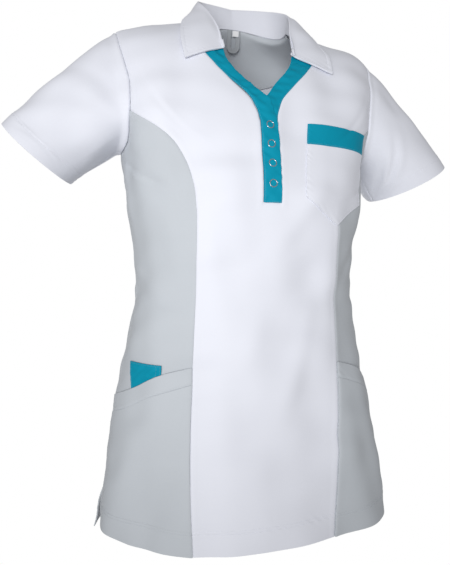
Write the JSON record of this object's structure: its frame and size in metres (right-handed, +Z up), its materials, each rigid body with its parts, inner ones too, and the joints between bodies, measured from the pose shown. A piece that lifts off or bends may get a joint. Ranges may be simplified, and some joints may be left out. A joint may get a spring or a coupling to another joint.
{
  "type": "work polo shirt",
  "caption": "Short-sleeved work polo shirt, filled out as worn: white with grey side panels, teal V bands and placket, turned-down collar and patch pockets.",
  "frame": {"origin": "midway between the two high shoulder points, where the wearer's shoulders carry the shirt", "axes": "+Z up, -Y to the front, +X to the wearer's left"},
  "size_m": [0.641, 0.2632, 0.7636],
  "materials": {
    "white_cloth": "smooth matte knit",
    "grey_cloth": "smooth matte knit",
    "teal_cloth": "smooth matte knit",
    "snap_metal": "bright nickel"
  },
  "bodies": {
    "root": {"front_centre": "white_cloth", "back_centre": "white_cloth", "sleeve_right": "white_cloth", "sleeve_left": "white_cloth", "collar": "white_cloth", "chest_pocket": "white_cloth", "neck_label": "white_cloth", "front_side_right": "grey_cloth", "front_side_left": "grey_cloth", "back_side_right": "grey_cloth", "back_side_left": "grey_cloth", "back_neck_facing": "grey_cloth", "side_pocket_right": "grey_cloth", "side_pocket_left": "grey_cloth", "side_pocket_band_right": "grey_cloth", "side_pocket_band_left": "grey_cloth", "hanger_loop": "grey_cloth", "neck_band_right": "teal_cloth", "neck_band_left": "teal_cloth", "chest_pocket_band": "teal_cloth", "pen_pocket": "teal_cloth", "snap_1": "snap_metal", "snap_2": "snap_metal", "snap_3": "snap_metal", "snap_4": "snap_metal"}
  },
  "joints": []
}
